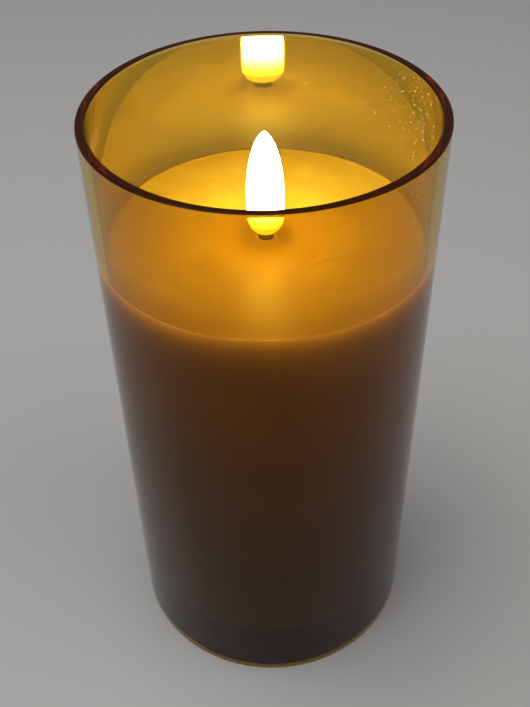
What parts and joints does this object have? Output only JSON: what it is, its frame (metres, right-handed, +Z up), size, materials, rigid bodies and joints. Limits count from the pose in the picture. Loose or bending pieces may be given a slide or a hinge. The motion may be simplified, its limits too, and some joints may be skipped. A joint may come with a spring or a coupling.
{
  "type": "flameless LED candle",
  "caption": "Tinted glass cylinder holding a hollow wax candle with a lit flame bulb, on a battery base with a slide switch and a hinged battery door.",
  "frame": {"origin": "centre of the glass cylinder's foot, on the surface the candle stands on", "axes": "+Z up along the candle's axis; the slide switch is on the -Y side of the underside, and the battery door is hinged at its -X end"},
  "size_m": [0.075, 0.075, 0.15],
  "materials": {
    "glass": "amber-tinted clear glass, polished",
    "wax": "ivory wax, satin",
    "flame": "milky, lit from inside",
    "led": "light chip, lit",
    "board_white": "white circuit board",
    "stem": "black, matt",
    "holder": "off-white moulded plastic",
    "base_plastic": "black moulded plastic, fine texture",
    "silicone": "black silicone sealant",
    "screw": "zinc-plated steel",
    "board_green": "green solder mask",
    "epoxy": "black epoxy",
    "can": "drawn metal can",
    "resistor": "lacquered",
    "capacitor": "shrink sleeve",
    "nickel": "nickel-plated spring steel",
    "bronze": "phosphor bronze",
    "terminal": "brown laminate",
    "knob": "black moulded plastic",
    "red_lead": "red insulation",
    "black_lead": "black insulation",
    "jacket": "printed cell jacket"
  },
  "bodies": {
    "candle": {"glass_cylinder": "glass", "wax_shell": "wax", "flame_bulb": "flame", "led_board": "board_white", "led_chip_1": "led", "led_chip_2": "led", "led_chip_3": "led", "wick_stem": "stem", "wick_holder": "holder", "led_lead_positive": "red_lead", "led_lead_negative": "black_lead", "base_housing": "base_plastic", "base_cover": "base_plastic", "glue_ring": "silicone", "cover_screw_1": "screw", "cover_screw_2": "screw", "cover_screw_3": "screw", "circuit_board": "board_green", "controller_chip": "epoxy", "timing_crystal": "can", "current_resistor": "resistor", "smoothing_capacitor": "capacitor", "switch_shell": "can", "switch_terminal_base": "terminal", "bridge_contact": "nickel", "positive_contact": "nickel", "negative_contact": "nickel", "battery_spring_1": "nickel", "battery_spring_2": "nickel", "battery_lead_positive": "red_lead", "battery_lead_negative": "black_lead", "battery_1": "jacket", "battery_2": "jacket"},
    "switch_slider": {"switch_slider": "knob", "switch_wiper": "bronze"},
    "battery_door": {"battery_door": "base_plastic"}
  },
  "joints": [
    {"name": "switch_slide", "type": "slide", "parent": "candle", "child": "switch_slider", "axis": [1, 0, 0], "range_m": [0, 0.004]},
    {"name": "door_swing", "type": "hinge", "parent": "candle", "child": "battery_door", "pos_m": [-0.0282, 0, 0.0017], "axis": [0, 1, 0], "range_deg": [0, 80]}
  ]
}
